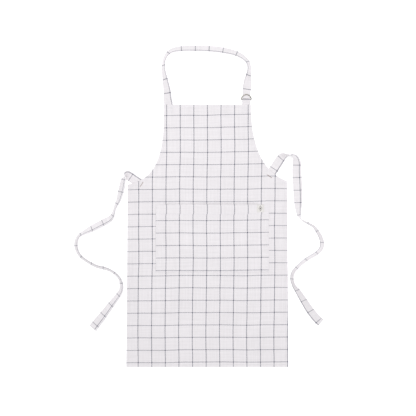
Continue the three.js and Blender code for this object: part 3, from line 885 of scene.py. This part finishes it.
# %% Pocket stitches
low, high = pocket_low + POCKET_SEAM, pocket_high - POCKET_SEAM
start_y = pocket_high[1] - 2
u_path = np.array([(low[0], start_y), (low[0], low[1]), (high[0], low[1]), (high[0], start_y)])
side_rows = on_front(u_path, pocket_top, "pocket_side_stitches", ["pocket_seam_thread"])
hem_y = pocket_high[1] - POCKET_HEM
hem_row = on_front(np.array([(pocket_low[0] + 6, hem_y), (pocket_high[0] - 6, hem_y)]), pocket_top,
                   "pocket_hem_stitches", ["pocket_hem_thread"])
for piece in (side_rows, hem_row):
    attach(piece, "apron")

# %% [markdown]
# ## Label
# A small ribbon label is sewn near the pocket's right corner, its edges turned under. Its device is a
# plain diamond, which belongs to nobody.

# %% Label
label_low, label_high = plan_box("label")
LABEL_SEAM = 2.0
X, Y = np.meshgrid(*(
    np.concatenate([[a, a + 0.15, a + 0.5], np.linspace(a + 1.2, b - 1.2, 14), [b - 0.5, b - 0.15, b]])
    for a, b in zip(label_low, label_high)))


def label_top(x, y):
    """Height of the label's face: pillowed a little, rolled at the rim, drawn down by its stitches."""
    rim = np.min([x - label_low[0], label_high[0] - x, y - label_low[1], label_high[1] - y], axis=0)
    pillow = 0.25 * smooth_step(rim / 8)
    groove = 0.16 * np.exp(-((rim - LABEL_SEAM) / 0.6) ** 2)
    return pocket_top(x, y) + 0.62 + pillow - rolled(rim, 0.5) - groove


label = laid("label_patch", X, Y, label_top(X, Y), pocket_top(X, Y) + 0.04,
             np.dstack([X, Y]) - (label_low + label_high) / 2, ribbon_finish)
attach(label, "apron")
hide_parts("label")
a, b = label_low + LABEL_SEAM, label_high - LABEL_SEAM
square = np.array([(a[0], a[1]), (b[0], a[1]), (b[0], b[1]), (a[0], b[1]), (a[0], a[1])])
label_stitches = on_front(square, label_top, "label_stitches", ["label_thread"], pitch=2.4, length=1.9)
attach(label_stitches, "apron")

# %% [markdown]
# ## Folded strips
# The neck strap and the ties are strips folded in four, so one long edge is a fold and the other is two
# folds meeting, held by a row of stitches. The profile is that flat loop, with a slit at the open edge,
# carried along a smooth route. The route gives the plan and how far the strip has rolled over, and the
# strip always stands on the floor, so its height follows from its roll.

# %% Strip profile
STRIP = 1.6  # mm, four layers
STRIP_SEAM = 2.1  # mm from the open edge to its stitches
GAP = 0.3  # mm left between pieces that pass each other


def strip_profile(width):
    """Across and through in mm, and the unrolled distance from the open edge, all round the strip."""
    half, thick = width / 2, STRIP / 2
    inner = np.array([0.18, 0.5, 0.9, 1.6, STRIP_SEAM, 2.6, 3.6])
    front = np.concatenate([-half + inner, np.linspace(-half + 6, half - 6, 7), half - inner[::-1]])
    rounded = np.sqrt(np.clip(1 - np.clip((np.abs(front) - half + 0.9) / 0.9, 0, 1) ** 2, 0.02, 1))
    groove = 0.17 * np.exp(-((front + half - STRIP_SEAM) / 0.6) ** 2)
    crown = 0.10 * np.cos(np.pi * front / width)
    through = thick * rounded * 0.92 + crown - groove
    across = np.concatenate([front, [half], front[::-1], [-half + 0.75]])
    height = np.concatenate([through, [0.0], -through[::-1], [0.0]])
    unrolled = np.concatenate(
        [front + half, [width], 2 * width - (front[::-1] + half), [2 * width, 2 * width + 0.6]])
    return across, height, unrolled


def smooth_route(points, steps=10):
    """A centripetal Catmull-Rom line: between two neighbours runs a cubic whose slope at each end leans
    on the points either side, weighted by the root of their distance."""
    p = np.asarray(points, float)
    q = np.vstack([2 * p[0] - p[1], p, 2 * p[-1] - p[-2]])
    gap = np.sqrt(np.linalg.norm(np.diff(q, axis=0), axis=1))[:, None]
    before, here, after = gap[:-2], gap[1:-1], gap[2:]
    q0, q1, q2, q3 = q[:-3], q[1:-2], q[2:-1], q[3:]
    leave = ((q1 - q0) / before - (q2 - q0) / (before + here) + (q2 - q1) / here) * here
    reach = ((q2 - q1) / here - (q3 - q1) / (here + after) + (q3 - q2) / after) * here
    t = np.linspace(0, 1, steps, endpoint=False)[None, :, None]
    q1, q2, leave, reach = (part[:, None] for part in (q1, q2, leave, reach))
    line = (q1 + leave * t + (3 * (q2 - q1) - 2 * leave - reach) * t ** 2
            + (2 * (q1 - q2) + leave + reach) * t ** 3)
    return np.vstack([line.reshape(-1, p.shape[1]), p[-1:]])


def stations(route, width):
    """For a route of x, y and roll: middles, across directions and face directions. The strip is level
    with its left side up by the roll, and its middle is half its leaning height above the floor."""
    ahead = unit(np.gradient(route[:, :2], axis=0))
    roll = np.radians(route[:, 2])[:, None]
    level = np.column_stack([-ahead[:, 1], ahead[:, 0], np.zeros(len(route))])
    up = np.array([[0.0, 0.0, 1.0]])
    across = level * np.cos(roll) + up * np.sin(roll)
    face = up * np.cos(roll) - level * np.sin(roll)
    lift = (np.abs(np.sin(roll[:, 0])) * width + np.abs(np.cos(roll[:, 0])) * STRIP) / 2
    return np.column_stack([route[:, :2], FLOOR + lift]), across, face


def evenly(parts, spacing):
    """Stations respaced evenly along the middle line."""
    middle, across, face, width = parts
    reached = lengths_along(middle)
    at = np.linspace(0, reached[-1], int(reached[-1] / spacing))
    line, across, face = (spaced_by(reached, part, at) for part in (middle, across, face))
    return line, unit(across), unit(face), np.interp(at, reached, width), at


def strip(name, parts, wide, line_at, cut_along, lengthwise_first, nodes, back_shift):
    """The strip's mesh. Small puckers run along the stitched edge, and the loose end is turned in and
    a little thicker. The map lies across and along the cut cloth, or the other way about, with a
    lengthwise line at a distance from the open edge. The back layer has slipped across by a shift."""
    middle, across, face, width, at = parts
    side, through, unrolled = strip_profile(wide)
    unrolled = unrolled + back_shift * (unrolled > wide)
    near_open = np.exp(-((side + wide / 2 - 1.5) / 3.5) ** 2)
    pucker = 0.13 * np.sin(at / 1.9 + 1.4 * np.sin(at / 13))[:, None] * near_open[None]
    soft = 0.10 * np.sin(at / 23 + 0.8 * np.sin(at / 41))[:, None] * np.ones((1, len(side)))
    tail_end = smooth_step((11 - (at[-1] - at)) / 1.5)
    thicker = 1 + 0.45 * tail_end * smooth_step((at[-1] - at) / 0.8)
    narrow = (width / wide)[:, None]
    wander = 0.25 * np.sin(at / 31 + 1.7)[:, None] * np.sign(side)[None]
    out = through[None] * thicker[:, None] + (pucker + soft) * 0.6
    points = (middle[:, None] + across[:, None] * (side[None] * narrow + wander * 0.5)[..., None]
              + face[:, None] * out[..., None])
    cut_across = unrolled[None] - line_at
    order = (cut_across, cut_along[:, None]) if lengthwise_first else (cut_along[:, None], cut_across)
    piece = tube(name, points, both_ways(*order), strip_finish)
    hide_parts(*nodes)
    return piece


def strip_stitches(name, parts, wide):
    """The row along the open edge, seen on both faces, and a row across the turned-in end."""
    middle, across, face, width, at = parts
    edge = -wide / 2 + STRIP_SEAM
    beads = np.arange(3.5, at[-1] - 3.0, STITCH_PITCH)
    beside = edge * np.interp(beads, at, width / wide)[:, None]
    ahead = spaced_by(at, unit(np.gradient(middle + across * edge, axis=0)), beads)
    end_at = np.full(int(wide / STITCH_PITCH) - 1, at[-1] - 9.0)
    offs = (np.arange(len(end_at)) - (len(end_at) - 1) / 2)[:, None] * STITCH_PITCH
    rows = []
    for places, off, heading, out in ((beads, beside, ahead, STRIP / 2 - 0.12),
                                      (end_at, offs, None, STRIP / 2 * 1.45 - 0.1)):
        line, over, facing = (spaced_by(at, part, places) for part in (middle, across, face))
        for sign in (1, -1):
            lies = over if heading is None else heading
            rows.append((line + over * off + sign * facing * out, lies, sign * facing))
    stack = [np.vstack(part) for part in zip(*rows)]
    return stitches(name, *stack, STITCH, STITCH_THICK * 0.9, white_thread)


print("strip maker ready")

# %% [markdown]
# ## Neck strap
# One end is sewn behind the bib's left corner. The strap loops round, goes under both rings, turns up
# round the back one and comes back between them, and its tail lies on the strap. It folds on the line
# just past the bib's edge.

# %% Neck strap route
STRAP_ROUTE = [  # across from root to rings, up to the full reach, and the inner edge's lift in degrees
    (-0.01, 0.11, 18), (-0.015, 0.22, 30), (-0.042, 0.44, 51), (-0.062, 0.615, 66), (-0.054, 0.775, 68),
    (0.002, 0.908, 58), (0.077, 0.96, 52), (0.167, 0.98, 47), (0.346, 0.985, 44), (0.523, 0.98, 42),
    (0.7, 0.952, 43), (0.87, 0.895, 48), (0.95, 0.836, 52), (1.01, 0.76, 58), (1.037, 0.66, 63),
    (1.037, 0.58, 59), (1.028, 0.51, 50), (1.015, 0.39, 32), (1.005, 0.27, 10), (1, 0.2, 0)]
STRAP_WIDE, GATHERED, STRAP_REACH = 30.0, 24.0, 195.0
WIRE, BAR_OUT, RING_SPAN = 2.6, 17.0, 17.0
WIRE_MEETS = 11.5  # how far past the bars the slanting wire first meets the strap's edges
ROOT_X = BIB_HALF - STRAP_WIDE / 2 - 0.5
BACK_BAR, FRONT_BAR = 0.1, 3.0  # heights of the rings' bars
TAIL, TAIL_SETTLE = 72.0, 24.0  # the tail's length, and how soon it comes down onto the strap
TURN_OUT = 22.9  # how far past the bib the strap turns back round the ring
TURN_STEPS, SEWN_STEPS = 12, 12
FOLD_HEIGHT = FLOOR + STRIP / 2
TAIL_HEIGHT = BACK_BAR + WIRE / 2 + GAP + STRIP / 2
PAST_BIB = BIB_TOP + 4.6  # where the strap and the tab leave the bib
strap_low = plan_box("neck_strap_end")[0]


def strap_width(x, y):
    """The strap's width: whole, but gathered where it nears the rings on the right."""
    narrow_from, narrow_to = BIB_TOP + STRAP_REACH / 3, BIB_TOP + TURN_OUT + WIRE
    narrowing = np.where(x > 0, smooth_step((narrow_from - y) / (narrow_from - narrow_to)), 0.0)
    return STRAP_WIDE + (GATHERED - STRAP_WIDE) * narrowing


def neck_strap_parts():
    """The sewn end, the run, the turn round the ring and the tail, as one line of stations."""
    run_points = [(-ROOT_X, PAST_BIB, 0.0)]
    run_points += [(-ROOT_X + 2 * ROOT_X * a, BIB_TOP + u * STRAP_REACH, -r) for a, u, r in STRAP_ROUTE]
    run_points += [(ROOT_X, BIB_TOP + TURN_OUT, 0.0)]
    sewn = np.zeros((SEWN_STEPS, 3))
    sewn[:, 0], sewn[:, 1] = -ROOT_X, np.linspace(strap_low[1], PAST_BIB - 1, SEWN_STEPS)
    route = np.vstack([sewn, smooth_route(run_points)])
    width = strap_width(route[:, 0], route[:, 1])
    middle, across, face = stations(route, width)

    radius = (TAIL_HEIGHT - FOLD_HEIGHT) / 2
    angle = np.pi * np.arange(1, TURN_STEPS) / TURN_STEPS
    turn_in = np.column_stack([np.zeros(len(angle)), np.sin(angle), np.cos(angle)])
    turn_middle = np.array([ROOT_X, BIB_TOP + TURN_OUT, FOLD_HEIGHT + radius]) - radius * turn_in
    turn_across = np.tile((1.0, 0.0, 0.0), (len(angle), 1)) * np.sign(across[-1, 0])

    back = slice(None, None, -1)
    reached = lengths_along(middle)
    tail = reached[-1] - reached <= TAIL
    past = BAR_OUT + RING_SPAN + WIRE / 2 + GAP
    settled = smooth_step((middle[tail][:, 1] - BIB_TOP - past) / TAIL_SETTLE)[:, None]
    off = (TAIL_HEIGHT - FOLD_HEIGHT) * (1 - settled) + (STRIP + GAP) * settled
    tail_middle = (middle[tail] + face[tail] * off)[back]
    return (np.vstack([middle, turn_middle, tail_middle]),
            np.vstack([across, turn_across, across[tail][back]]),
            np.vstack([face, turn_in, -face[tail][back]]),
            np.concatenate([width, np.full(len(angle), GATHERED), width[tail][back]]))


strap_parts = evenly(neck_strap_parts(), 2.6)
print("neck strap is", round(float(strap_parts[4][-1])), "mm long")

# %% Neck strap
STRAP_STRETCH, STRAP_PHASE = 1.022, 21.3  # how its cross lines are spaced, and where they start
TAIL_SLIP = 19.9  # how far the tail's lines are from where the strap's would carry on
STRAP_LINE, STRAP_BACK_SLIP = 3.5, 17.0  # a lengthwise line in from the open edge, front and back
strap_at = strap_parts[4]
strap_along = strap_at / STRAP_STRETCH + STRAP_PHASE - TAIL_SLIP * (strap_at > strap_at[-1] - TAIL - 4)
strap_piece = strip("neck_strap_cloth", strap_parts, STRAP_WIDE, STRAP_LINE, strap_along, False,
                    ["neck_strap", "neck_strap_end"], STRAP_BACK_SLIP)
strap_sewing = strip_stitches("neck_strap_stitches", strap_parts, STRAP_WIDE)
for piece in (strap_piece, strap_sewing):
    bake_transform(piece)

# %% [markdown]
# ## Ring tab
# The tab is a shorter piece of the strip, two layers here, folded round the straight bars of both
# rings. Seen from the side it is one line that goes out behind, round the bars and back.

# %% Ring tab
TAB_WIDE, TAB_THICK, TAB_SEAM = 28.0, 0.8, 12.0  # the seam is out from the tab's middle
TAB_PHASE = (34, 7)  # where on the cut cloth its end and its edge lie
tab_low = plan_box("ring_tab_end")[0]


def tab_line():
    """Reach and height of the tab's middle line: straight out, two quarter circles round the bars,
    and straight back."""
    bar_y, bend = BIB_TOP + BAR_OUT, WIRE / 2 + GAP + TAB_THICK / 2
    quarter = np.linspace(0, np.pi / 2, 8)
    low_turn = np.column_stack([bar_y + bend * np.sin(quarter), BACK_BAR - bend * np.cos(quarter)])
    high_turn = np.column_stack([bar_y + bend * np.cos(quarter), FRONT_BAR + bend * np.sin(quarter)])
    under, over = FLOOR + 0.42, FLOOR + 1.22
    out, home = [(tab_low[1], under), (PAST_BIB, under)], [(PAST_BIB, over), (tab_low[1], over)]
    return evenly_spaced(np.vstack([out, low_turn, high_turn, home]), 110)


tab = tab_line()
tab_at = lengths_along(tab)
ahead = unit(np.gradient(tab, axis=0))
level = np.zeros(len(tab))
normal = np.column_stack([level, -ahead[:, 1], ahead[:, 0]])
middle = np.column_stack([level + ROOT_X, tab])
half_side = np.array([0, 8, 11.4, TAB_SEAM, 12.6, 13.4, 13.8, TAB_WIDE / 2])
side = np.concatenate([-half_side[:0:-1], half_side])
thin = TAB_THICK / 2 * np.sqrt(np.clip(1 - np.clip((np.abs(side) - 13.6) / 0.4, 0, 1) ** 2, 0, 1))
thin = thin - 0.07 * np.exp(-((np.abs(side) - TAB_SEAM) / 0.5) ** 2)
ring_side = np.concatenate([side, side[-2:0:-1]])
ring_thin = np.concatenate([thin, -thin[-2:0:-1]])
points = (middle[:, None] + np.array([1.0, 0, 0]) * ring_side[None, :, None]
          + normal[:, None] * ring_thin[None, :, None])
around = np.concatenate([ring_side + TAB_WIDE / 2, [0.0]])
where = both_ways(tab_at[:, None] + TAB_PHASE[0], around[None] + TAB_PHASE[1])
tab_piece = tube("ring_tab_cloth", points, where, strip_finish)
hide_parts("ring_tab", "ring_tab_end")
beads_at = np.arange(2.0, tab_at[-1] - 2, STITCH_PITCH)
line, outward, heading = (spaced_by(tab_at, part, beads_at)
                          for part in (middle, normal, np.column_stack([level, ahead])))
beads = [np.vstack([line + np.array([s, 0, 0]) - outward * 0.36 for s in (-TAB_SEAM, TAB_SEAM)]),
         np.vstack([heading] * 2), -np.vstack([outward] * 2)]
tab_sewing = stitches("ring_tab_stitches", *beads, STITCH, 0.5, white_thread)
for piece in (tab_piece, tab_sewing):
    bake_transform(piece)

# %% [markdown]
# ## D-rings
# A ring is round wire bent to a half circle and a straight bar. The wire is a circle carried round that
# line. The front ring rests on the strap's tail, so it leans up from its bar.

# %% D-rings


def ring_line(count=120):
    """The D in plan, about the bar's middle: a straight bar, corners that are quadratic curves with
    weights (1-t)^2, 2t(1-t) and t^2, and a half circle."""
    corner, span = 3.0, RING_SPAN
    meet = np.arcsin(corner / span)
    bend = np.linspace(0, 1, 14)[:, None]
    bar = np.array([(corner - span, 0.0), (span - corner, 0.0)])
    end = span * np.array([np.cos(meet), np.sin(meet)])
    right = (1 - bend) ** 2 * bar[1] + 2 * bend * (1 - bend) * np.array([span, 0]) + bend ** 2 * end
    arc = np.linspace(meet, np.pi - meet, 60)
    half_circle = span * np.column_stack([np.cos(arc), np.sin(arc)])
    left = right[::-1] * (-1, 1)
    line = np.vstack([bar[:1], right, half_circle[1:-1], left])
    return evenly_spaced(line, count + 1)[:-1]


def ring(name, node, body, bar_height, lean):
    """A circle of the wire's radius carried round the D, leaning up from its bar by an angle."""
    flat = ring_line()
    around = np.vstack([flat[-1:], flat, flat[:1]])
    ahead = unit(around[2:] - around[:-2])
    out = np.column_stack([ahead[:, 1], -ahead[:, 0]])
    turn = np.linspace(0, 2 * np.pi, 16, endpoint=False)
    radius = WIRE / 2 * (1 + 0.012 * np.sin(np.arange(len(flat)) * 0.9))[:, None]
    plan = flat[:, None] + out[:, None] * (radius * np.cos(turn))[..., None]
    height = radius * np.sin(turn)
    x, y = plan[..., 0], plan[..., 1]
    points = np.dstack([ROOT_X + x, BIB_TOP + BAR_OUT + y * np.cos(lean) - height * np.sin(lean),
                        bar_height + y * np.sin(lean) + height * np.cos(lean)])
    closed = closed_numbers(*x.shape)
    closed = np.vstack([closed, closed[:1]])
    grid = np.dstack(np.meshgrid(np.linspace(0, 8, closed.shape[1]), np.linspace(0, 90, closed.shape[0])))
    piece = add_piece(name, points, [squares_of(closed)], [squares_of(grid)], brass)
    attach(piece, body)
    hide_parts(node)


over_tail = TAIL_HEIGHT + STRIP / 2 + GAP + WIRE / 2 - FRONT_BAR
lean = np.arcsin(over_tail / WIRE_MEETS)
ring("back_wire_ring", "back_ring", "neck_loop", BACK_BAR, 0.0)
ring("front_wire_ring", "front_ring", "front_ring", FRONT_BAR, lean)
print("the front ring leans", round(float(np.degrees(lean)), 1), "degrees")

# %% [markdown]
# ## Waist ties
# Each tie is sewn behind its armhole, comes out past the edge, turns over in an arch and then wanders
# off across the floor, mostly on its edge. The route is given from the apron's side: how far outside,
# how far above the side corner, and the roll.

# %% Tie routes
TIE_WIDE, TIE_SEWN = 32.0, 26.0
SEWN_POINTS = 14
TIE_ROOTS = {  # share of the armhole, angle, how far out it folds, and how soon it starts to roll
    "left": (0.9, 146, 19.5, 13.5), "right": (0.82, 57, 14.0, 27.0)}
TIE_ROUTES = {
    "left": [
        (7, 29, -84), (14, 18, -121), (17, 3, -130), (23.5, -26.5, -132), (30.5, -53, -124),
        (38.5, -70.5, -115), (44, -86, -111), (49, -103, -117), (60, -118, -131), (83, -130.5, -136),
        (123, -151.5, -132), (149, -165, -116), (164, -175, -113), (172.5, -190.5, -116),
        (174.5, -208.5, -118), (168.5, -230, -116), (156, -247.5, -113), (122.5, -270.5, -113),
        (101.5, -280.5, -113), (79.5, -285.5, -113), (59, -292.5, -111), (41.5, -303.5, -111),
        (25.5, -320, -113), (18.5, -339.5, -117), (19, -360.5, -118), (30.5, -381, -124),
        (55, -413, -135), (80, -446.5, -146), (106, -479.5, -156), (115.5, -492.5, -160)],
    "right": [
        (-3.5, 86, 68), (13.5, 88.5, 102), (29, 79, 134), (34, 62, 156), (34, 29, 171),
        (37, -31, 168), (37.5, -75.5, 152), (38, -100, 132), (40, -119, 114), (50.5, -134, 88),
        (72.5, -146, 81), (91.5, -158, 79), (101.5, -172.5, 75), (111.5, -190.5, 73),
        (117.5, -211.5, 72), (113.5, -231.5, 73), (98.5, -247, 74), (63, -268.5, 76),
        (30.5, -296.5, 77), (16.5, -315.5, 76), (13.5, -334.5, 75), (19.5, -357, 71),
        (31.5, -374.5, 59), (52.5, -408, 45), (76, -445, 35), (104.5, -479, 27), (112, -484.5, 25)],
}


def side_at(y, corner_y):
    """How far the apron's side edge is from the centre line at a height."""
    down = np.clip((corner_y - y) / (corner_y - BOTTOM), 0, None)
    return CORNER_HALF + (SKIRT_HALF - CORNER_HALF) * down


def tie_parts(side_name):
    """The tie's stations from behind the armhole to its end."""
    side, corner_y = ARMHOLES[side_name][:2]
    share, angle, fold, settle = TIE_ROOTS[side_name]
    root = armhole(side_name, [share])[0]
    along = np.array([np.cos(np.radians(angle)), np.sin(np.radians(angle))])
    fold_x = root[0] + side * fold
    start = root + along * (fold_x + side * 1.6 - root[0]) / along[0]
    sewn_length = TIE_SEWN + np.linalg.norm(start - root)
    sewn = start - along * np.linspace(sewn_length, 3, SEWN_POINTS)[:, None]
    settled = start + along * settle
    first = [(*start, 0.0), (*settled, side * 12.0)]
    rest = [(side * (side_at(corner_y + above, corner_y) + outside), corner_y + above, roll)
            for outside, above, roll in TIE_ROUTES[side_name]]
    route = np.vstack([np.column_stack([sewn, np.zeros(SEWN_POINTS)]), smooth_route(first + rest)])
    width = np.full(len(route), TIE_WIDE)
    return (*stations(route, width), width)


# %% Ties
TIE_STRETCH, TIE_PHASE = 1.011, {"left": 32.0, "right": 4.3}
TIE_LINE, TIE_BACK_SLIP = 4.0, -5.3
for side_name in ("left", "right"):
    parts = evenly(tie_parts(side_name), 2.8)
    tie_along = parts[4] / TIE_STRETCH + TIE_PHASE[side_name]
    tie = strip(f"{side_name}_tie_cloth", parts, TIE_WIDE, TIE_LINE, tie_along, True,
                [f"{side_name}_tie", f"{side_name}_tie_end"], TIE_BACK_SLIP)
    sewing = strip_stitches(f"{side_name}_tie_stitches", parts, TIE_WIDE)
    for piece in (tie, sewing):
        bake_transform(piece)
    print(side_name, "tie is", round(float(parts[4][-1])), "mm long")

# %% [markdown]
# ## Tacks
# A bar of close brown stitches holds each tie, and a square of white stitches holds the strap's end and
# the tab's end through the bib.

# %% Tacks
TACK_BEADS, TACK_REACH = 30, 9.6  # beads in a bar, and how far it goes either way from its middle
for side_name in ("left", "right"):
    low, high = plan_box(f"{side_name}_tie_tack")
    middle = (low + high) / 2
    turn = np.radians(TIE_ROOTS[side_name][1])
    bar = np.array([-np.sin(turn), np.cos(turn)])
    across = np.array([np.cos(turn), np.sin(turn)])
    spots = middle + bar * np.linspace(-TACK_REACH, TACK_REACH, TACK_BEADS)[:, None]
    slant = np.where(np.arange(TACK_BEADS) % 2, 0.35, -0.35)[:, None]
    height = panel_top(spots[:, 0], spots[:, 1]) + 0.12
    lie = np.column_stack([across + bar * slant, np.zeros(TACK_BEADS)])
    piece = stitches(f"{side_name}_bar_tack", np.column_stack([spots, height]), lie,
                     np.tile((0.0, 0.0, 1.0), (TACK_BEADS, 1)), 2.3, 0.62, brown_thread,
                     [f"{side_name}_tie_tack"], "tack_thread")
    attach(piece, "apron")

for node in ("neck_strap_tack", "ring_tab_tack"):
    low, high = plan_box(node)
    (x0, y0), (x1, y1) = low + 0.3, high - 0.3
    square = np.array([(x0, y0), (x1, y0), (x1, y1), (x0, y1), (x0, y0), (x1, y1), (x1, y0), (x0, y1)])
    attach(on_front(square, panel_top, f"{node}_stitches", [node], pitch=3.0, length=2.4), "apron")

# %% [markdown]
# ## The size of the finished scene
# The box round every visible piece but the floor is printed in millimetres.

# %% Sizes
low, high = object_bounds()
print("visual box in mm:", [round(v / MM, 1) for v in (*low, *high)])
